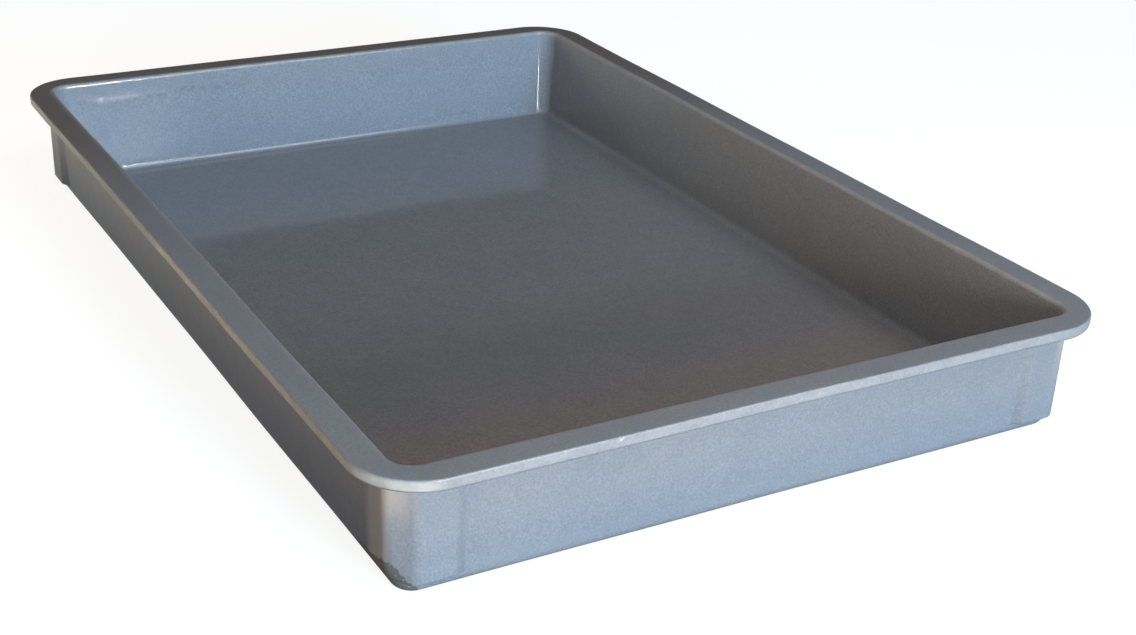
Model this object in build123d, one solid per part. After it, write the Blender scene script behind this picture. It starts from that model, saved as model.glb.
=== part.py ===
from build123d import *
import math
import os

# A rectangular stacking tray, moulded in one piece from glass-fibre-reinforced plastic
# round a steel wire that stiffens its rim. A post stands proud of the wall at each corner
# and stops short of the floor, so that its lower end is a ledge: a tray stacked on another
# stands with its four ledges on the rim below, and its bottom sits inside the opening.
# Sizes are in millimetres. The origin is the middle of the underside, the length runs
# along Y, the width along X, and +Z is up. An inset is measured inwards from the rim's
# outer edge, and a reach along a side from the rim's outer edge at the corner.

# Tray
length = 654.0
width = 454.0
height = 73.0
wall = 3.2                # thickness of the walls and of the floor
draft = 3.25              # degrees that the walls lean outwards
floor_fillet = 4.5        # inside, where the floor meets the walls
heel_radius = 6.5         # outside, where the underside meets the walls

# Rim
rim_width = 18.4          # from the outer edge to the opening
rim_thickness = 3.6
rim_corner = 38.0         # plan radius of the outer edge
opening_corner = 13.0     # plan radius of the opening
opening_round = 2.6       # between the rim's top and the inner wall
root_fillet = 1.5         # under the rim, where it meets the walls and the bead

# Bead, the rim's thickened outer edge, which holds the wire
bead_depth = 7.0
bead_width = 6.6
bead_top_round = 1.0
bead_bottom_round = 2.0
wire_diameter = 3.2
wire_cover = 1.5          # plastic outside the wire

# Corner posts
post_inset = 13.6         # at the rim
post_draft = 0.5          # degrees
post_flat = 26.0          # reach of the ends of the flat across the post's corner
post_round = 8.0          # rounding at both ends of that flat
post_reach = 47.5         # reach of the end of the post's flat face
post_ramp = 6.0           # along the wall, from the flat face back to the wall
post_blend = 5.0          # rounding at both ends of the ramp
ledge_height = 8.0        # above the underside
ledge_round = 1.8

# Worked out from the sizes above
wall_lean = math.tan(math.radians(draft))
post_lean = math.tan(math.radians(post_draft))
corner_centre = rim_width + opening_corner      # inset of the walls' corner centres
rim_underside = height - rim_thickness
bead_underside = height - bead_depth
into_rim = rim_thickness / 2                    # how far walls and posts run up into the rim
wire_inset = wire_cover + wire_diameter / 2
wire_height = height - bead_depth / 2
same_place = 0.8                                # tolerance for finding an edge


def rounded_plate(inset, corner, z):
    """A level face with rounded corners, at one inset."""
    return Pos(0, 0, z) * RectangleRounded(width - 2 * inset, length - 2 * inset, corner)


def inner_inset(z):
    """Inset of the inner wall at one height."""
    return rim_width + (height - z) * wall_lean


def outer_inset(z):
    """Inset of the outer wall at one height."""
    return inner_inset(z) - wall


def post_face_inset(z):
    """Inset of a post's flat faces at one height."""
    return post_inset + (rim_underside - z) * post_lean


def level_edges(solid, z):
    """The edges that lie at one height."""
    return solid.edges().filter_by_position(Axis.Z, z - same_place, z + same_place)


def upright_edges(solid, reach):
    """The tall edges that stand at one reach, along X or along Y."""
    found = []
    for edge in solid.edges():
        middle = edge.center()
        off_x = abs(width / 2 - abs(middle.X) - reach)
        off_y = abs(length / 2 - abs(middle.Y) - reach)
        if edge.bounding_box().size.Z > height / 2 and min(off_x, off_y) < same_place:
            found.append(edge)
    return found


def hole_edges(solid, z):
    """The edges round the hole in the level face at one height."""
    faces = solid.faces().filter_by(GeomType.PLANE)
    ring = faces.filter_by_position(Axis.Z, z - same_place, z + same_place)[0]
    return ring.inner_wires()[0].edges()


def drafted_block(inset_at, low, high):
    """A solid with leaning walls, whose corners are parts of cones."""
    ends = [rounded_plate(inset_at(z), corner_centre - inset_at(z), z) for z in (low, high)]
    return loft(ends, ruled=True)


def make_pan():
    """The block that the walls and the floor fill, with its rounded heel."""
    block = drafted_block(outer_inset, 0, rim_underside + into_rim)
    return fillet(level_edges(block, 0), heel_radius)


def make_cavity():
    """The space inside the tray, with its rounded lower edge."""
    block = drafted_block(inner_inset, wall, height)
    return fillet(level_edges(block, wall), floor_fillet)


def make_rim():
    """The flat rim with the bead round its outer edge."""
    slab = extrude(rounded_plate(0, rim_corner, bead_underside), bead_depth)
    slab = fillet(level_edges(slab, height), bead_top_round)
    slab = fillet(level_edges(slab, bead_underside), bead_bottom_round)
    recess_plan = rounded_plate(bead_width, rim_corner - bead_width, bead_underside)
    recess = extrude(recess_plan, bead_depth - rim_thickness)
    return slab - fillet(level_edges(recess, rim_underside), root_fillet)


def post_outline(z):
    """The plan of the post in the +X +Y corner at one height, as a face.

    Its two ramps run on past the wall's surface, so that the post ends inside the wall.
    """
    face_inset = post_face_inset(z)
    back_inset = outer_inset(z) + wall / 2
    stretch = (back_inset - face_inset) / (outer_inset(z) - face_inset)
    back_reach = post_reach + post_ramp * stretch
    side = [(post_flat, face_inset), (post_reach, face_inset), (back_reach, back_inset)]
    plan = side + [(b, a) for a, b in reversed(side)]
    outline = Polyline(*[(width / 2 - a, length / 2 - b, z) for a, b in plan], close=True)
    sketch = make_face(outline)
    flat_ends = sketch.vertices().sort_by_distance((width / 2, length / 2, z))[:2]
    return fillet(flat_ends, post_round)


def make_post():
    """The post in the +X +Y corner, from the rim down to its rounded ledge."""
    ends = [post_outline(z) for z in (ledge_height, rim_underside + into_rim)]
    post = loft(ends, ruled=True)
    post = fillet(upright_edges(post, post_reach), post_blend)
    hidden_edge = level_edges(post, ledge_height).sort_by(SortBy.LENGTH)[-1]
    ledge_edges = [edge for edge in level_edges(post, ledge_height) if edge != hidden_edge]
    return fillet(ledge_edges, ledge_round)


def make_wire():
    """A closed loop of round wire, inside the bead."""
    path = rounded_plate(wire_inset, rim_corner - wire_inset, wire_height).wire()
    section = Plane(origin=path @ 0, z_dir=path % 0) * Circle(wire_diameter / 2)
    return sweep(section, path=path)


def make_tray(wire):
    """The whole moulding, with the channel that the wire fills."""
    post = make_post()
    pair = [post, mirror(post, Plane.YZ)]
    posts = pair + [mirror(half, Plane.XZ) for half in pair]
    tray = make_pan() + make_rim() + posts - make_cavity()
    tray = fillet(upright_edges(tray, post_reach + post_ramp), post_blend)
    tray = fillet(hole_edges(tray, height), opening_round)
    tray = fillet(hole_edges(tray, rim_underside), root_fillet)
    return tray - wire


os.makedirs("parts", exist_ok=True)
rim_wire = make_wire()
export_step(make_tray(rim_wire), "parts/tray_body.step")
export_step(rim_wire, "parts/rim_wire.step")
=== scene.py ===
import math

import bpy
import numpy as np
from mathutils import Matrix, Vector


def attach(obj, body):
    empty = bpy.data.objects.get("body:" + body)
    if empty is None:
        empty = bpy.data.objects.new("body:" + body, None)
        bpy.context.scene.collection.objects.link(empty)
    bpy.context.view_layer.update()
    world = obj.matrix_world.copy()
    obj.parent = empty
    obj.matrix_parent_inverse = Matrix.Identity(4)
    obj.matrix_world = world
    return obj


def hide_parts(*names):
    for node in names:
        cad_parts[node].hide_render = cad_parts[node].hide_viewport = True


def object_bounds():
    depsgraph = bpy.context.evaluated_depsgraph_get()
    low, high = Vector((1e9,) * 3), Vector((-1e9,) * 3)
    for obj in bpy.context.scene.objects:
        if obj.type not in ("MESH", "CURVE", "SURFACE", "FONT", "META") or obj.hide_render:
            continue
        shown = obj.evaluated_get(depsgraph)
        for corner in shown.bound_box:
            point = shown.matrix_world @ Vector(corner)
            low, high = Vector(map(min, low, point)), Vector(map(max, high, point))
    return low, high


# The looks of a moulded stacking tray round its CAD frame. The moulding is rebuilt as one
# dense mesh of rings that run round the tray, from the middle of the underside, up the
# outer walls, over the rim, down the inner walls and across the floor. Profile sizes are
# in millimetres and the scene is in metres. An inset is measured inwards from the rim's
# outer edge, and a reach along a side from the rim's outer edge at the corner.

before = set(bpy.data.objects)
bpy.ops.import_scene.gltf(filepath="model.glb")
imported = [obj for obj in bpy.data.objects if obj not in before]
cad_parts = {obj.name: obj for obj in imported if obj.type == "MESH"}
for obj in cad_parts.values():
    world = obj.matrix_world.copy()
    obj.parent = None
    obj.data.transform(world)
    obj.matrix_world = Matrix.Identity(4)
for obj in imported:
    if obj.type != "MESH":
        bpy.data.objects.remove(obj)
cad_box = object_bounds()

MM = 0.001
HALF_WIDTH = cad_box[1].x / MM
HALF_LENGTH = cad_box[1].y / MM
HEIGHT = cad_box[1].z / MM

# The tray's profile
WALL = 3.2
DRAFT = math.radians(3.25)
FLOOR_FILLET = 4.5
HEEL_RADIUS = 6.5
RIM_WIDTH = 18.4
RIM_THICKNESS = 3.6
RIM_CENTRE = 38.0          # inset of the centres of the rim's outer corners
OPENING_ROUND = 2.6
ROOT_FILLET = 1.5
BEAD_DEPTH = 7.0
BEAD_WIDTH = 6.6
BEAD_TOP_ROUND = 1.0
BEAD_BOTTOM_ROUND = 2.0
POST_INSET = 13.6
POST_DRAFT = math.radians(0.5)
POST_REACH = 47.5
POST_RAMP = 6.0
POST_FLAT = 26.0           # reach of the ends of the flat across the post's corner
POST_ROUND = 8.0
LEDGE_HEIGHT = 8.0
LEDGE_ROUND = 1.8
WALL_CENTRE = RIM_WIDTH + 13.0
RIM_UNDERSIDE = HEIGHT - RIM_THICKNESS
BEAD_UNDERSIDE = HEIGHT - BEAD_DEPTH

# Mesh density
SIDE_STEP = 6.0            # between stations along a side
RAMP_STEP = 0.9            # between stations at the ends of the posts
NICK_STEP = 0.6            # between stations at the nick
CORNER_STEPS = 36
FLOOR_RINGS = 30
UNDERSIDE_RINGS = 10

# Marks of moulding and wear
NICK = -101.0              # place of the nick along the front lip
NICK_HALF = 4.2            # half the length that gets the nick's closer stations
FOOT_WEAR = 3.0            # worn off the near left post's foot
FOOT_TOP = 19.0            # height that the worn foot reaches
RUB_ALL_ROUND = 0.22       # how rubbed the lip is, apart from its left side and near left corner
LAP_SOFT = 26.0            # length over which a lap fades at its ends
# each lap's wall (axis and sign), limits along the wall, height and strength
LAPS = [(1, 1, -186, -62, 60.5, 0.16), (1, 1, 20, 96, 57.0, 0.1), (0, 1, -210, -120, 59.0, 0.1),
        (0, -1, 60, 190, 60.0, 0.2), (1, -1, -60, 120, 60.0, 0.2)]

# Colours
DEEP_GREY = (0.131, 0.142, 0.158)
PALE_GREY = (0.139, 0.148, 0.161)
SCRATCHED = (0.27, 0.27, 0.27)
# painted highlight along the opening's rounded edge
OPENING_HIGHLIGHT = (0.27, 0.24, 0.2)
# painted shade in the line below a lap
LAP_SHADE = (0.06, 0.07, 0.085)
# painted light on the near left post's long side
FLANK_LIGHT = (0.29, 0.265, 0.25)
# a rubbed lip with painted warm light, strongest at the near left corner and along the left side
RUBBED_AND_LIT = (0.31, 0.295, 0.265)
# scuffs with painted warm light on the posts' corners
SCUFFED_AND_LIT = (0.31, 0.27, 0.225)
# painted shade on the near left post's worn foot, which faces down and away from the lights
BROKEN_AND_SHADED = (0.062, 0.063, 0.058)
BARE_FIBRE = (0.3, 0.3, 0.29)
STEEL = (0.42, 0.41, 0.40)
RUST = (0.16, 0.075, 0.035)


def inner_inset(z):
    """Inset of the inner wall at one height."""
    return RIM_WIDTH + (HEIGHT - z) * math.tan(DRAFT)


def outer_inset(z):
    """Inset of the outer wall at one height."""
    return inner_inset(z) - WALL


def post_face_inset(z):
    """Inset of a post's flat faces at one height."""
    return POST_INSET + (RIM_UNDERSIDE - z) * math.tan(POST_DRAFT)


def arc(centre, radius, start, end, steps):
    """Points (inset, z) of an arc, by angles in degrees from the +inset direction."""
    angles = [math.radians(start + (end - start) * k / steps) for k in range(steps + 1)]
    return [(centre[0] + radius * math.cos(a), centre[1] + radius * math.sin(a)) for a in angles]


def run(first, last, steps):
    """Points between two points, without either of them."""
    (inset, z), (last_inset, last_z) = first, last
    return [(inset + (last_inset - inset) * k / steps, z + (last_z - z) * k / steps)
            for k in range(1, steps)]


def smooth(x):
    """A soft step from 0 to 1, as x goes from 0 to 1."""
    x = np.clip(x, 0.0, 1.0)
    return x * x * (3 - 2 * x)


def outer_profile():
    """Two lists of (inset, z) from the underside to the rim's root: at a wall and at a post."""
    lean = math.degrees(DRAFT)
    heel_z = HEEL_RADIUS - HEEL_RADIUS * math.sin(DRAFT)
    heel_centre = (outer_inset(heel_z) + HEEL_RADIUS * math.cos(DRAFT), HEEL_RADIUS)
    wall = arc(heel_centre, HEEL_RADIUS, 270, 180 + lean, 8)
    post = list(wall)
    # the ledge at the post's foot, and as many rings up the plain wall
    low = LEDGE_HEIGHT - 1.3
    top = LEDGE_HEIGHT + LEDGE_ROUND
    root = outer_inset(LEDGE_HEIGHT)
    face = post_face_inset(top)
    ledge = [(outer_inset(z), z) for z in (low, LEDGE_HEIGHT - 0.5)]
    ledge += [(root - 0.15, LEDGE_HEIGHT - 0.1), (root - 0.5, LEDGE_HEIGHT)]
    ledge += run((root - 0.5, LEDGE_HEIGHT), (face + LEDGE_ROUND, LEDGE_HEIGHT), 2)
    ledge += arc((face + LEDGE_ROUND, top), LEDGE_ROUND, 270, 180, 7)
    for k, point in enumerate(ledge):
        z = low + (top - low) * k / (len(ledge) - 1)
        wall.append((outer_inset(z), z))
        post.append(point)
    # close rings up past the worn foot, and wide ones above
    close_top = 26
    levels = np.append(np.arange(top + 0.8, close_top, 0.8),
                       np.linspace(close_top, RIM_UNDERSIDE - ROOT_FILLET, 10))
    for z in levels:
        wall.append((outer_inset(z), z))
        post.append((post_face_inset(z), z))
    for points in (wall, post):
        inset, z = points[-1]
        points += arc((inset - ROOT_FILLET, z), ROOT_FILLET, 0, 90, 5)[1:]
    return wall, post


def rim_profile():
    """(inset, z, centre) from the rim's underside over the bead and the rim to the opening.

    The centre is the inset of the corners' centres, which moves from the walls' to the rim's
    under the rim, and back again over its top.
    """
    points = []
    under_start = 12.4         # just outside the posts' root
    under_end = BEAD_WIDTH + ROOT_FILLET
    for inset, z in run((under_start, RIM_UNDERSIDE), (under_end, RIM_UNDERSIDE), 4):
        share = (under_start - inset) / (under_start - under_end)
        points.append((inset, z, WALL_CENTRE + (RIM_CENTRE - WALL_CENTRE) * share))
    bead = arc((under_end, RIM_UNDERSIDE - ROOT_FILLET), ROOT_FILLET, 90, 180, 5)
    inner_round = 0.45         # softens the bead's inner lower edge
    inner_centre = (BEAD_WIDTH - inner_round, BEAD_UNDERSIDE + inner_round)
    bead += arc(inner_centre, inner_round, 0, -90, 3)
    bead += run(bead[-1], (BEAD_BOTTOM_ROUND, BEAD_UNDERSIDE), 3)
    outer_centre = (BEAD_BOTTOM_ROUND, BEAD_UNDERSIDE + BEAD_BOTTOM_ROUND)
    bead += arc(outer_centre, BEAD_BOTTOM_ROUND, 270, 180, 5)
    side_top = (0.0, HEIGHT - BEAD_TOP_ROUND)
    bead += run(bead[-1], side_top, 4)
    bead += arc((BEAD_TOP_ROUND, side_top[1]), BEAD_TOP_ROUND, 180, 90, 7)
    points += [(inset, z, RIM_CENTRE) for inset, z in bead]
    top_end = opening_round()[0]
    for inset, z in run((BEAD_TOP_ROUND, HEIGHT), top_end, 7):
        share = (inset - BEAD_TOP_ROUND) / (top_end[0] - BEAD_TOP_ROUND)
        points.append((inset, z, RIM_CENTRE + (WALL_CENTRE - RIM_CENTRE) * share))
    return points


def opening_round():
    """(inset, z) round the opening's edge, from the rim's top to the inner wall."""
    tangent_z = HEIGHT - OPENING_ROUND + OPENING_ROUND * math.sin(DRAFT)
    centre = (inner_inset(tangent_z) - OPENING_ROUND * math.cos(DRAFT), HEIGHT - OPENING_ROUND)
    return arc(centre, OPENING_ROUND, 90, math.degrees(DRAFT), 8)


def inner_profile():
    """(inset, z) from the opening's round down to the floor."""
    points = opening_round()
    tangent_z = WALL + FLOOR_FILLET - FLOOR_FILLET * math.sin(DRAFT)
    start = points[-1][1]
    for z in np.linspace(start, tangent_z, 25)[1:-1]:
        points.append((inner_inset(z), z))
    centre = (inner_inset(tangent_z) + FLOOR_FILLET * math.cos(DRAFT), WALL + FLOOR_FILLET)
    return points + arc(centre, FLOOR_FILLET, 180 + math.degrees(DRAFT), 270, 8)


def side_stations(half):
    """Distances from the middle of a side, from one corner to the other.

    They lie close together at the ends of the posts and, on the two ends, at the nick.
    """
    past_ramp = (4.5, 3.5)     # how far the close stations go on at the ramp's two ends
    end = half - WALL_CENTRE
    ramp_in = half - (POST_REACH + POST_RAMP + past_ramp[0])
    ramp_out = half - (POST_REACH - past_ramp[1])
    ramp = np.arange(ramp_in, ramp_out, RAMP_STEP)
    middle = np.linspace(-ramp_in, ramp_in, int(2 * ramp_in / SIDE_STEP))
    outer = np.linspace(ramp_out, end, 5)
    right = np.concatenate([ramp[1:], outer])
    everything = np.concatenate([-right[::-1], middle, right])
    if half > HALF_WIDTH:
        return everything
    nick = NICK + np.arange(-NICK_HALF, NICK_HALF + 0.1, NICK_STEP)
    clear = np.abs(everything - NICK) > NICK_HALF + NICK_STEP
    return np.sort(np.concatenate([everything[clear], nick]))


def stations():
    """For each station round the tray: outward normal, place along its side, half the tray's size
    along that side, and corner signs, which are None on a side."""
    found = []
    corners = [(1, 1), (-1, 1), (-1, -1), (1, -1)]
    sides = [((1, 0), HALF_LENGTH, 1), ((0, 1), HALF_WIDTH, -1), ((-1, 0), HALF_LENGTH, -1),
             ((0, -1), HALF_WIDTH, 1)]
    for k in range(4):
        normal, half, way = sides[k]
        for t in side_stations(half)[:-1]:
            found.append((normal, way * t, half, None))
        start = math.radians(90 * k)
        for step in range(CORNER_STEPS):
            share = step / CORNER_STEPS
            # closer together where a corner meets its sides
            share = 0.35 * share + 0.65 * (1 - math.cos(math.pi * share)) / 2
            angle = start + math.radians(90) * share
            found.append(((math.cos(angle), math.sin(angle)), 0.0, 0.0, corners[k]))
    return found


def post_share(reach):
    """1 on a post, 0 on the wall beside it, with both ends of the ramp rounded."""
    u = (reach - POST_REACH) / POST_RAMP
    blend = 0.2
    if u <= -blend:
        return 1.0
    if u >= 1 + blend:
        return 0.0
    if u < blend:
        return 1.0 - (u + blend) ** 2 / (4 * blend)
    if u > 1 - blend:
        return (1 + blend - u) ** 2 / (4 * blend)
    return 1.0 - u


def flat_corner(angle):
    """The post's outline at its corner, as a share of a round corner, by angle from a side's normal."""
    radius = WALL_CENTRE - POST_INSET
    start = WALL_CENTRE - POST_FLAT
    along, across = math.cos(angle), math.sin(angle)
    if across > along:
        along, across = across, along
    # the arc between a side and the flat
    centre = (radius - POST_ROUND, start - POST_ROUND * math.tan(math.pi / 8))
    near = along * centre[0] + across * centre[1]
    inside = near * near - centre[0] ** 2 - centre[1] ** 2 + POST_ROUND ** 2
    reach = near + math.sqrt(max(inside, 0.0))
    turn = math.atan2(reach * across - centre[1], reach * along - centre[0])
    if turn < 0:
        reach = radius / along
    elif turn > math.pi / 4:
        reach = (radius + start) / (along + across)
    return reach / radius


def place_rings():
    """All vertices as an array (rings, stations, xyz) in millimetres, and each ring's kind.

    The share is 1 at a station on a post and 0 on the wall, and flat_corner's result shapes
    the posts' rings at the corners.
    """
    around = stations()
    normals = np.array([s[0] for s in around], float)
    base_wall = np.zeros((len(around), 2))
    base_rim = np.zeros((len(around), 2))
    share = np.ones(len(around))
    for k, (normal, t, half, corner) in enumerate(around):
        if corner is not None:
            for base, centre in ((base_wall, WALL_CENTRE), (base_rim, RIM_CENTRE)):
                base[k] = corner[0] * (HALF_WIDTH - centre), corner[1] * (HALF_LENGTH - centre)
            continue
        share[k] = post_share(half - abs(t))
        scale = (half - RIM_CENTRE) / (half - WALL_CENTRE)
        for base, centre, along in ((base_wall, WALL_CENTRE, t), (base_rim, RIM_CENTRE, t * scale)):
            if normal[0]:
                base[k] = normal[0] * (HALF_WIDTH - centre), along
            else:
                base[k] = along, normal[1] * (HALF_LENGTH - centre)

    flat = np.array([flat_corner(math.atan2(abs(normal[1]), abs(normal[0]))) for normal in normals])

    def ring(inset, z, centre=WALL_CENTRE, flatten=0.0):
        """One ring; inset and z are numbers or one number for each station."""
        mix = (centre - WALL_CENTRE) / (RIM_CENTRE - WALL_CENTRE)
        base = base_wall * (1 - mix) + base_rim * mix
        reach = (centre - np.asarray(inset) * np.ones(len(around))) * (1 + (flat - 1) * flatten)
        out = np.zeros((len(around), 3))
        out[:, :2] = base + normals * reach[:, None]
        out[:, 2] = z
        return out

    rings = []
    kinds = []
    wall, post = outer_profile()
    hole = 0.02                # size of the face that closes each end, as a share of its ring
    first = ring(wall[0][0], 0.0)
    for k in range(UNDERSIDE_RINGS):
        scale = hole + (1 - hole) * k / UNDERSIDE_RINGS
        rings.append(first * (scale, scale, 1.0))
        kinds.append("underside")
    for w, p in zip(wall, post):
        proud = float(smooth((w[0] - p[0]) / 1.2))
        rings.append(ring(w[0] + (p[0] - w[0]) * share, w[1] + (p[1] - w[1]) * share, flatten=proud))
        kinds.append("outside")
    for inset, z, centre in rim_profile():
        rings.append(ring(inset, z, centre))
        kinds.append("rim")
    for inset, z in inner_profile():
        rings.append(ring(inset, z))
        kinds.append("inside")
    last = rings[-1]
    for k in range(1, FLOOR_RINGS + 1):
        scale = 1 - (1 - hole) * k / FLOOR_RINGS
        rings.append(last * (scale, scale, 1.0))
        kinds.append("floor")
    return np.array(rings), kinds


def ring_faces(count_rings, count_stations):
    """Quads between neighbouring rings, and one face to close each end."""
    faces = []
    for r in range(count_rings - 1):
        low = r * count_stations
        high = low + count_stations
        for s in range(count_stations):
            t = (s + 1) % count_stations
            faces.append((low + s, low + t, high + t, high + s))
    faces.append(tuple(range(count_stations))[::-1])
    top = (count_rings - 1) * count_stations
    faces.append(tuple(range(top, top + count_stations)))
    return faces


def waves(points):
    """A slow warp of the whole moulding, in millimetres, at each point."""
    x, y, z = points[..., 0], points[..., 1], points[..., 2]
    out = np.zeros_like(points)
    out[..., 0] = 0.22 * np.sin(y / 71 + 0.6) + 0.12 * np.sin(y / 31 + z / 40 + 1.9)
    out[..., 1] = 0.20 * np.sin(x / 63 + 2.1) + 0.12 * np.sin(x / 27 + z / 35 + 0.4)
    lift = 0.16 * np.sin(x / 58 + 1.0) * np.sin(y / 83 + 0.3) + 0.07 * np.sin(x / 23 + y / 29)
    out[..., 2] = lift * smooth(z / 6)
    return out


def window(value, low, high, soft):
    """1 between two limits and 0 outside them, with soft ends."""
    return smooth((value - low) / soft + 0.5) * smooth((high - value) / soft + 0.5)


def lap_line(along, axis, level):
    """The wavering height of a lap."""
    return level + 1.1 * np.sin(along / 17 + axis) + 0.7 * np.sin(along / 6.3)


def lap_marks(rings, kinds):
    """Moulding laps: uneven low ridges high on the inner walls, with a shallow sink below each."""
    rows = [k for k, kind in enumerate(kinds) if kind == "inside"]
    x, y, z = (rings[rows][..., axis] for axis in range(3))
    push = np.zeros(rings[rows].shape)
    for axis, sign, low, high, level, strength in LAPS:
        across = (y, x)[1 - axis] * sign
        along = (x, y)[1 - axis]
        half = (HALF_WIDTH, HALF_LENGTH)[axis]
        on_wall = smooth((across - (half - 24)) / 3)
        above = z - lap_line(along, axis, level)
        uneven = 1 + 0.6 * np.sin(along / 4.1) + 0.5 * np.sin(along / 2.3 + 1)
        ridge = 0.8 * np.exp(-((above - 2) / 1.9) ** 2) * uneven
        sink = 0.8 * np.exp(-((above + 3) / 3.6) ** 2)
        push[..., axis] -= sign * strength * (ridge - sink) * window(along, low, high, LAP_SOFT) * on_wall
    rings[rows] += push


def nick_lip(rings, outside):
    """A nick in the front lip."""
    x, y, z = (rings[..., axis] for axis in range(3))
    near = np.exp(-((x - NICK) / 1.3) ** 2) * np.exp(-((z - HEIGHT + 0.6) / 1.0) ** 2)
    near = np.where(outside & (y < -HALF_LENGTH + 4), near, 0)
    rings[..., 1] += 0.8 * near
    rings[..., 2] -= 0.5 * near


def wear_foot(rings, outside):
    """The near left post's foot, worn round and ragged."""
    x, y, z = (rings[..., axis] for axis in range(3))
    from_corner = -(x + HALF_WIDTH - WALL_CENTRE), -(y + HALF_LENGTH - WALL_CENTRE)
    turn = np.degrees(np.arctan2(from_corner[1], from_corner[0]))
    share = outside * (from_corner[0] > 0) * (1 - smooth((turn - 8) / 62))
    share = share * (1 - smooth((y + HALF_LENGTH - POST_REACH) / POST_RAMP))
    depth = np.clip((FOOT_TOP - z) / 11, 0, 1) ** 1.6 * smooth((z - 6.4) / 1.3)
    jag = 1 + depth * (0.12 * np.sin(y / 1.1) + 0.14 * np.sin((y - x) / 2.3 + 1))
    worn = FOOT_WEAR * share * depth * jag
    inward = np.radians(turn.clip(0, 90))
    rings[..., 0] += worn * np.cos(inward)
    rings[..., 1] += worn * np.sin(inward)


class Places:
    """Where each vertex lies, for the masks."""

    def __init__(self, rings, kinds):
        self.x, self.y, self.z = (rings[..., axis] for axis in range(3))
        self.kind = np.array(kinds)[:, None]
        self.outside = (self.kind == "outside") | (self.kind == "rim")
        self.near_left = (self.x < 0) & (self.y < 0)
        # how far past the centres of the walls' corners, and the angle round a corner, which
        # is 0 at the long side and 90 degrees at the end
        self.past_x = np.abs(self.x) - (HALF_WIDTH - WALL_CENTRE)
        self.past_y = np.abs(self.y) - (HALF_LENGTH - WALL_CENTRE)
        self.turn = np.degrees(np.arctan2(self.past_y.clip(0.01), self.past_x.clip(0.01)))


def lip_mask(p):
    """The paler lip: a faint rub all round, and painted warm light, strong at the near left corner and
    along the left side.
    """
    past_x = np.abs(p.x) - (HALF_WIDTH - RIM_CENTRE)
    past_y = np.abs(p.y) - (HALF_LENGTH - RIM_CENTRE)
    turned = np.hypot(past_x.clip(0), past_y.clip(0))
    straight = np.maximum(past_x, past_y)
    edge = np.where((past_x > 0) & (past_y > 0), turned, straight) - RIM_CENTRE
    lip = p.outside * smooth((edge + 3.2) / 2.2)
    lip = lip * smooth((p.z - BEAD_UNDERSIDE - 0.9) / 1.2) * (1 - smooth((p.z - HEIGHT + 1.4) / 1.3))
    from_corner = -(p.x + HALF_WIDTH - RIM_CENTRE), -(p.y + HALF_LENGTH - RIM_CENTRE)
    swing = np.degrees(np.arctan2(from_corner[1], from_corner[0]))
    corner = p.near_left * (1 - 0.8 * smooth((swing - 62) / 30))
    side = (p.x < 0) * smooth((p.y + HALF_LENGTH - 12) / 12) * (0.9 - 0.6 * smooth(p.y / 300 + 0.6))
    strong = (p.past_x > -6) * np.maximum(corner, side)
    return lip * np.maximum(RUB_ALL_ROUND, strong)


def scuff_and_light_mask(p):
    """Scuffs on the posts' corners, with painted warm light on them, mostly high up."""
    middle = np.where(p.near_left, 27.0, 45.0)
    around = smooth(1.35 - np.abs(p.turn - middle) / 42) * smooth(p.past_x) * smooth(p.past_y)
    return (p.kind == "outside") * around * (0.15 + 0.85 * smooth((p.z - 32) / 30))


def foot_mask(p):
    """How far a vertex of the near left post is below its broken foot's upper edge; 0.5 at the edge,
    where a painted shade begins.
    """
    edge = np.interp(p.turn, (0, 12, 26, 66, 84), (FOOT_TOP, 19.6, 20.5, 8.5, 1.0))
    edge = np.where(p.past_y > 0, edge, FOOT_TOP + p.past_y * 0.33)
    below = np.clip((edge - p.z) / 8 + 0.5, 0, 1)
    return p.outside * p.near_left * (p.past_x > 0) * below * (p.z > 0.5)


def lit_flank_mask(p):
    """A paler band of painted light on the long side of the near left post, as far as the flat across its
    corner.
    """
    band = smooth((p.past_y + 15) / 6) * (1 - (p.past_y > 0) * smooth((p.turn - 10) / 24))
    band = band * smooth(p.past_x / 4)
    return (p.kind == "outside") * p.near_left * band * (p.z < RIM_UNDERSIDE - 0.4)


def lap_shade_mask(p):
    """The line just below the first lap, on the far wall, which gets a painted shade."""
    axis, _, low, high, level, _ = LAPS[0]
    above = p.z - lap_line(p.x, axis, level - 2)
    far_wall = (p.kind == "inside") * (p.y > HALF_LENGTH - 30)
    return np.exp(-(above / 1.8) ** 2) * far_wall * window(p.x, low, high, LAP_SOFT)


def paint_masks(rings, kinds):
    """Masks that the material reads, each from 0 to 1 at each vertex; several place painted light and
    shade.
    """
    p = Places(rings, kinds)
    side_wall = p.outside * (np.abs(p.x) > HALF_WIDTH - 24) * (p.past_y < 8)
    near_end = smooth((-p.y - 110) / 190) * (0.75 + 0.25 * smooth((-p.x + 40) / 200))
    return {
        # faint rub all round, and painted warm light at the near left corner and along the left side
        "lip": lip_mask(p),
        "scuff_and_light": scuff_and_light_mask(p),
        "foot": foot_mask(p),
        # painted light on the near left post's long side
        "lit_flank": lit_flank_mask(p),
        # painted shade below the first lap
        "lap": lap_shade_mask(p),
        # painted shade: the side walls darker towards the bottom
        "side": side_wall * (1 - smooth((p.z - 2) / 62)),
        # painted shade: the rim's top browner and darker towards the far side
        "far_rim_shade": (p.kind == "rim") * (p.z > HEIGHT - 0.6) * smooth((p.y + 60) / 330),
        # painted shade: the floor warmer near the front wall, out of the blue light
        "near_floor_shade": (p.kind == "floor") * near_end,
        # painted highlight along the opening's rounded edge
        "edge": (p.kind == "inside") * (p.z > HEIGHT - 2.0) * 1.0,
        # painted light: a cooler tint low on the outer walls, where less warm light falls
        "low": p.outside * (1 - smooth((p.z - 4) / 46)),
        "inside": (p.kind == "floor") + (p.kind == "inside") * smooth((HEIGHT - p.z) / 0.6),
    }


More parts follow.
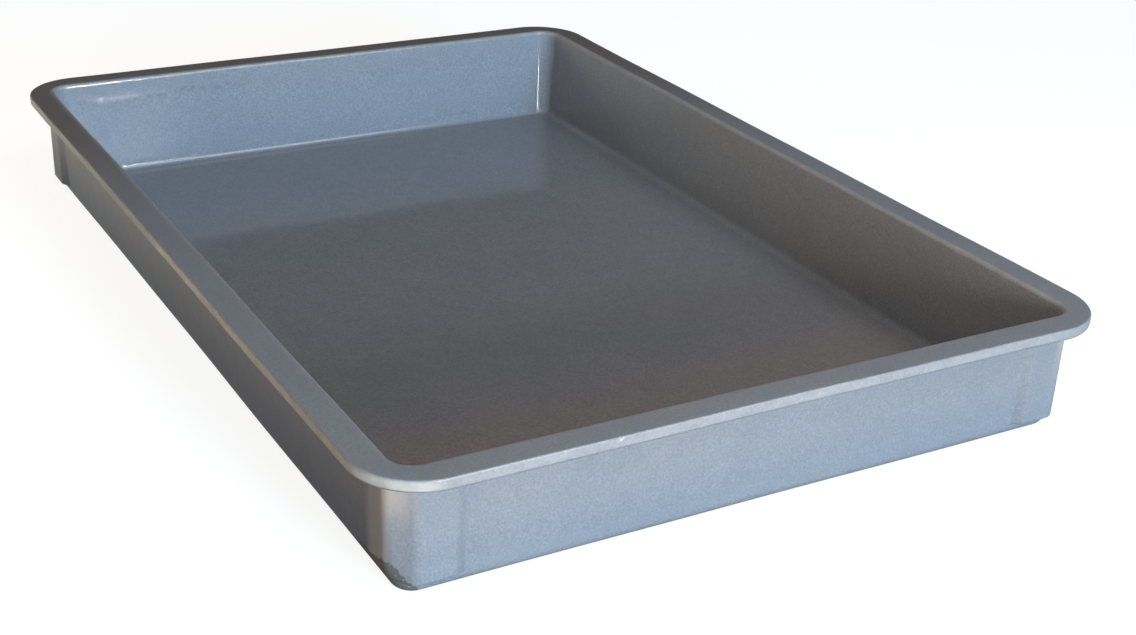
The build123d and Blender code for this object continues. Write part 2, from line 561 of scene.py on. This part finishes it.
def make_tray():
    """The moulding as one mesh, with the marks on its surface and the masks for its material."""
    rings, kinds = place_rings()
    outside = np.isin(kinds, ("outside", "rim"))[:, None]
    lap_marks(rings, kinds)
    nick_lip(rings, outside)
    wear_foot(rings, outside)
    masks = paint_masks(rings, kinds)
    rings += waves(rings)
    count_rings, count_stations = rings.shape[:2]
    points = rings.reshape(-1, 3) * MM
    mesh = bpy.data.meshes.new("tray_moulding")
    mesh.from_pydata(points.tolist(), [], ring_faces(count_rings, count_stations))
    mesh.polygons.foreach_set("use_smooth", [True] * len(mesh.polygons))
    for name, values in masks.items():
        attribute = mesh.attributes.new(name, "FLOAT", "POINT")
        everywhere = np.broadcast_to(values, rings.shape[:2])
        attribute.data.foreach_set("value", everywhere.astype(np.float32).ravel())
    mesh.update()
    tray = bpy.data.objects.new("tray_moulding", mesh)
    bpy.context.scene.collection.objects.link(tray)
    return tray


def add_node(tree, kind, **settings):
    """A new node with some of its settings."""
    made = tree.nodes.new(kind)
    for name, value in settings.items():
        setattr(made, name, value)
    return made


class Nodes:
    """Short calls for building one material's node tree."""

    def __init__(self, name):
        self.material = bpy.data.materials.new(name)
        self.material.use_nodes = True
        self.tree = self.material.node_tree
        self.shader = self.tree.nodes["Principled BSDF"]
        self.place = self.tree.nodes.new("ShaderNodeTexCoord").outputs["Object"]

    def feed(self, socket, value):
        """Link a socket to another, or set it to a number or a colour."""
        if isinstance(value, bpy.types.NodeSocket):
            self.tree.links.new(value, socket)
        elif isinstance(value, (int, float)) or len(value) == len(socket.default_value):
            socket.default_value = value
        else:
            socket.default_value = (*value, 1)

    def math(self, operation, first, second=0.0, third=0.0, clamp=False):
        """One sum of numbers or sockets."""
        made = self.tree.nodes.new("ShaderNodeMath")
        made.operation = operation
        made.use_clamp = clamp
        for socket, value in zip(made.inputs, (first, second, third)):
            self.feed(socket, value)
        return made.outputs[0]

    def mix(self, factor, first, second, kind="MIX"):
        """The first colour at a factor of 0, and the second at 1."""
        made = self.tree.nodes.new("ShaderNodeMix")
        made.data_type = "RGBA"
        made.blend_type = kind
        for index, value in ((0, factor), (6, first), (7, second)):
            self.feed(made.inputs[index], value)
        return made.outputs[2]

    def stretch(self, scale, turn=(0, 0, 0)):
        """The object's coordinates, scaled and turned."""
        made = self.tree.nodes.new("ShaderNodeMapping")
        self.feed(made.inputs["Vector"], self.place)
        made.inputs["Scale"].default_value = scale
        made.inputs["Rotation"].default_value = turn
        return made.outputs[0]

    def noise(self, size, detail=2.0, rough=0.5, place=None, bend=0.0):
        """Noise with features of about one size, in millimetres."""
        made = self.tree.nodes.new("ShaderNodeTexNoise")
        self.feed(made.inputs["Vector"], self.place if place is None else place)
        made.inputs["Scale"].default_value = 1 / (size * MM)
        made.inputs["Detail"].default_value = detail
        made.inputs["Roughness"].default_value = rough
        made.inputs["Distortion"].default_value = bend
        return made.outputs["Fac"]

    def span(self, value, low, high, to_low=0.0, to_high=1.0):
        """A value moved from one range to another, and held inside it."""
        made = self.tree.nodes.new("ShaderNodeMapRange")
        made.interpolation_type = "SMOOTHSTEP"
        for socket, number in zip(made.inputs, (value, low, high, to_low, to_high)):
            self.feed(socket, number)
        return made.outputs[0]

    def mask(self, name):
        """One of the mesh's painted masks."""
        made = self.tree.nodes.new("ShaderNodeAttribute")
        made.attribute_name = name
        return made.outputs["Fac"]

    def times(self, first, second):
        return self.math("MULTIPLY", first, second)

    def tint(self, colour, name, tone):
        """A colour, multiplied by a tone where a mask is."""
        return self.mix(self.mask(name), colour, self.mix(1.0, colour, tone, "MULTIPLY"))

    def bump(self, height, depth, normal=None):
        """A bump of one depth in millimetres, laid over another."""
        made = self.tree.nodes.new("ShaderNodeBump")
        made.inputs["Strength"].default_value = 1.0
        made.inputs["Distance"].default_value = depth * MM
        self.feed(made.inputs["Height"], height)
        if normal is not None:
            self.feed(made.inputs["Normal"], normal)
        return made.outputs[0]


def plain_grey(n, clouds, mottle, grain):
    """The colour of the unmarked plastic, with specks and strands of fibre."""
    specks = n.span(n.noise(2.2, 1, 0.5), 0.66, 0.72)
    along_strands = n.stretch((0.10, 1.0, 0.3), (0.2, 0.1, 0.5))
    strands = n.span(n.noise(1.0, 1, 0.5, along_strands, 0.6), 0.66, 0.74)
    colour = n.mix(n.span(clouds, 0.3, 0.7), DEEP_GREY, PALE_GREY)
    shade = n.times(n.span(mottle, 0.25, 0.75, 0.97, 1.03), n.span(grain, 0.2, 0.8, 0.80, 1.20))
    shade = n.math("ADD", shade, n.times(specks, 0.10))
    shade = n.math("ADD", shade, n.times(strands, 0.06))
    return n.mix(1.0, colour, shade, "MULTIPLY")


def scratch_marks(n):
    """Fine scratches in two directions, in patches."""
    fine = n.noise(1.0, 2, 0.5, n.stretch((0.9, 0.012, 0.9), (0, 0, 0.35)), 0.1)
    cross = n.noise(1.2, 2, 0.5, n.stretch((0.013, 1.0, 0.8), (0, 0, -0.2)), 0.1)
    both = n.math("MAXIMUM", n.span(fine, 0.69, 0.73), n.span(cross, 0.69, 0.73))
    return n.times(both, n.span(n.noise(45, 2, 0.5), 0.45, 0.62))


def tinted_places(n, colour, mottle):
    """The colour, with painted light and shade where the moulding looks darker, browner or paler."""
    # painted light: the outer walls bluer towards the bottom, where less warm light falls
    colour = n.tint(colour, "low", (0.84, 0.92, 0.98))
    # painted highlight: a thin pale line along the opening's rounded edge
    edge = n.times(n.mask("edge"), n.span(mottle, 0.3, 0.7, 0.1, 0.25))
    colour = n.mix(edge, colour, OPENING_HIGHLIGHT)
    # painted shade: the rim's top browner and darker towards the far side
    colour = n.tint(colour, "far_rim_shade", (0.72, 0.58, 0.50))
    # painted shade: the floor warmer near the front wall, out of the blue light
    colour = n.tint(colour, "near_floor_shade", (1.36, 1.00, 0.83))
    # painted shade, broken into dashes, along the line below the first lap
    dashes = n.times(n.span(n.noise(4.0, 2, 0.6), 0.4, 0.6, -0.1, 1.0), 0.38)
    colour = n.mix(n.times(n.mask("lap"), dashes), colour, LAP_SHADE)
    # painted shade: the side walls darker towards the bottom
    colour = n.tint(colour, "side", (0.60, 0.60, 0.66))
    # painted light on the near left post's long side
    return n.mix(n.times(n.mask("lit_flank"), 0.42), colour, FLANK_LIGHT)


def moulding_material():
    """Grey fibre-filled plastic, glossier inside, with rubbed, scuffed and broken places, and painted
    light and shade.
    """
    n = Nodes("grey_moulding")
    clouds = n.noise(70, 3, 0.55)
    mottle = n.noise(9, 4, 0.6)
    grain = n.noise(1.3, 2, 0.7)
    scratches = scratch_marks(n)
    # rubbed lip and painted warm light
    rub_and_light = n.times(n.mask("lip"), n.span(mottle, 0.25, 0.6, 0.55, 1.0))
    # scuffs and painted warm light on the posts' corners
    scuff_and_light = n.times(n.mask("scuff_and_light"), n.span(n.noise(14, 3, 0.5), 0.2, 0.6, 0.7, 1.0))
    ragged = n.math("MULTIPLY_ADD", n.noise(3.0, 3, 0.6), 0.9, n.mask("foot"))
    # the worn foot, whose dark colour is a painted shade
    broken = n.span(ragged, 0.97, 1.02)

    colour = plain_grey(n, clouds, mottle, grain)
    colour = n.mix(n.times(scratches, 0.12), colour, SCRATCHED)
    colour = tinted_places(n, colour, mottle)
    colour = n.mix(n.times(rub_and_light, 0.95), colour, RUBBED_AND_LIT)
    colour = n.mix(n.times(scuff_and_light, 0.75), colour, SCUFFED_AND_LIT)
    flecks = n.span(n.noise(1.6, 3, 0.7), 0.62, 0.70)
    # painted shade with pale flecks of fibre
    shade_and_fibre = n.mix(flecks, BROKEN_AND_SHADED, BARE_FIBRE)
    colour = n.mix(n.times(broken, 0.9), colour, shade_and_fibre)
    n.feed(n.shader.inputs["Base Color"], colour)

    rough = n.math("ADD", n.span(clouds, 0.3, 0.7, 0.36, 0.41), n.span(mottle, 0.3, 0.7, -0.02, 0.03))
    rough = n.math("SUBTRACT", rough, n.times(n.mask("inside"), 0.28))
    for mark, rise in ((scratches, 0.12), (rub_and_light, 0.16), (scuff_and_light, 0.15)):
        rough = n.math("ADD", rough, n.times(mark, rise))
    rough = n.math("ADD", rough, n.times(broken, 0.3), clamp=True)
    n.feed(n.shader.inputs["Roughness"], rough)

    normal = n.bump(n.noise(26, 2, 0.5), 0.03)
    normal = n.bump(n.noise(4.5, 3, 0.6), 0.006, normal)
    normal = n.bump(grain, 0.004, normal)
    normal = n.bump(n.math("ADD", scratches, n.times(broken, grain)), 0.01, normal)
    n.feed(n.shader.inputs["Normal"], normal)
    n.shader.inputs["IOR"].default_value = 1.5
    return n.material


def steel_material():
    """Drawn steel wire with a thin, uneven film of rust."""
    n = Nodes("steel_wire")
    rust = n.span(n.noise(5, 5, 0.65), 0.5, 0.68)
    drawn = n.noise(0.5, 2, 0.5)
    colour = n.mix(n.times(rust, 0.8), STEEL, RUST)
    n.feed(n.shader.inputs["Base Color"], colour)
    n.feed(n.shader.inputs["Metallic"], n.span(rust, 0.0, 1.0, 1.0, 0.15))
    n.feed(n.shader.inputs["Roughness"], n.span(rust, 0.0, 1.0, 0.32, 0.75))
    n.feed(n.shader.inputs["Normal"], n.bump(n.math("ADD", drawn, rust), 0.02))
    return n.material


def add_camera():
    """The camera, seated by its place and by its tilt, roll and turn in degrees."""
    camera = bpy.data.cameras.new("camera")
    camera.sensor_width = 36.0
    camera.lens = 55.725
    seat = bpy.data.objects.new("camera", camera)
    bpy.context.scene.collection.objects.link(seat)
    seat.location = (-0.4975, -0.9507, 0.4774)
    seat.rotation_euler = [math.radians(angle) for angle in (65.096, -2.253, -29.272)]
    bpy.context.scene.camera = seat


def add_area(name, towards, distance, size, power, colour, glossy=False, diffuse=True):
    """A square area light, in one direction from the tray's middle, that faces it."""
    light = bpy.data.lights.new(name, "AREA")
    light.size = size
    light.energy = power
    light.color = colour
    seat = bpy.data.objects.new(name, light)
    seat.location = Vector(towards).normalized() * distance
    seat.rotation_euler = (-seat.location).to_track_quat("-Z", "Y").to_euler()
    seat.visible_camera = False
    seat.visible_glossy = glossy
    seat.visible_diffuse = diffuse
    bpy.context.scene.collection.objects.link(seat)


def add_world():
    """White behind the tray, and to everything else a dim sky over a paler ground."""
    world = bpy.data.worlds.new("world")
    bpy.context.scene.world = world
    world.use_nodes = True
    tree = world.node_tree
    place = add_node(tree, "ShaderNodeTexCoord")
    split = add_node(tree, "ShaderNodeSeparateXYZ")
    ramp = add_node(tree, "ShaderNodeValToRGB")
    ramp.color_ramp.interpolation = "EASE"
    # position and colour, from straight down at 0 to straight up at 1
    ground = (0.21, 0.20, 0.20)
    stops = [(0.0, ground), (0.48, ground), (0.52, (0.06, 0.055, 0.05)), (0.75, (0.08, 0.08, 0.08)),
             (1.0, (0.15, 0.14, 0.14))]
    elements = ramp.color_ramp.elements
    while len(elements) < len(stops):
        elements.new(0.5)
    for element, (position, colour) in zip(elements, stops):
        element.position = position
        element.color = (*colour, 1)
    # turns the direction's height, from -1 to 1, into such a position
    to_position = add_node(tree, "ShaderNodeMath", operation="MULTIPLY_ADD")
    to_position.inputs[1].default_value = 0.5
    to_position.inputs[2].default_value = 0.5
    path = add_node(tree, "ShaderNodeLightPath")
    pick = add_node(tree, "ShaderNodeMix", data_type="RGBA")
    pick.inputs[7].default_value = (0.98, 0.98, 0.98, 1)
    tree.links.new(place.outputs["Generated"], split.inputs[0])
    tree.links.new(split.outputs["Z"], to_position.inputs[0])
    tree.links.new(to_position.outputs[0], ramp.inputs[0])
    tree.links.new(path.outputs["Is Camera Ray"], pick.inputs[0])
    tree.links.new(ramp.outputs[0], pick.inputs[6])
    tree.links.new(pick.outputs[2], tree.nodes["Background"].inputs[0])


def add_floor():
    """A pale studio floor just under the tray, which neither lights the tray nor shows in it."""
    mesh = bpy.data.meshes.new("studio_floor")
    reach = 12.0
    corners = [(-reach, -reach, 0), (reach, -reach, 0), (reach, reach, 0), (-reach, reach, 0)]
    mesh.from_pydata(corners, [], [(0, 1, 2, 3)])
    floor = bpy.data.objects.new("studio_floor", mesh)
    bpy.context.scene.collection.objects.link(floor)
    material = bpy.data.materials.new("studio_floor")
    material.use_nodes = True
    shader = material.node_tree.nodes["Principled BSDF"]
    shader.inputs["Base Color"].default_value = (0.15, 0.15, 0.15, 1)
    shader.inputs["Roughness"].default_value = 1.0
    shader.inputs["Specular IOR Level"].default_value = 0.0
    shader.inputs["Emission Color"].default_value = (1, 1, 1, 1)
    shader.inputs["Emission Strength"].default_value = 0.88
    floor.data.materials.append(material)
    floor.visible_diffuse = False
    floor.visible_glossy = False
    floor.location.z = -0.0002


def add_lights():
    """Area lights, by direction, distance, size, power and colour.

    The two keys light the front and the far wall. The glints only show as reflections. The
    overhead light is reflected too, and the rest fill in the left, the corner and the back.
    """
    white = (1.0, 1.0, 1.0)
    add_area("near_key", (-0.10, -1.50, 0.255), 1.53, 0.4, 32.5, (1.0, 0.75, 0.51))
    add_area("far_key", (0.05, -0.98, 0.19), 4.5, 0.9, 375, (0.16, 0.575, 0.985))
    add_area("left_glint", (0.205, -0.925, 0.317), 3.0, 0.10, 32, white, glossy=True, diffuse=False)
    add_area("corner_glint", (0.06, -0.98, 0.19), 4.4, 0.5, 180, white, glossy=True, diffuse=False)
    add_area("overhead_light", (0.25, -0.75, 1.15), 1.40, 0.9, 13.4, (1.0, 0.93, 0.90), glossy=True)
    add_area("left_fill", (-0.85, 0.15, 0.12), 3.0, 1.2, 24.5, (1.0, 0.77, 0.69))
    add_area("corner_fill", (-0.62, -0.72, 0.30), 2.6, 0.8, 8, (1.0, 0.92, 0.84))
    add_area("back_light", (-0.25, 0.94, 0.26), 3.0, 0.8, 14, (1.0, 0.95, 0.78))
    add_area("far_left_light", (-0.8, 0.62, 0.08), 0.95, 0.25, 6.0, (1.0, 0.93, 0.70))


bpy.context.scene.view_settings.view_transform = "Standard"
add_camera()
add_world()
add_floor()
add_lights()

tray = make_tray()
tray.data.materials.append(moulding_material())
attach(tray, "root")
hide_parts("tray_body")

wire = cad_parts["rim_wire"]
wire.data.materials.clear()
wire.data.materials.append(steel_material())
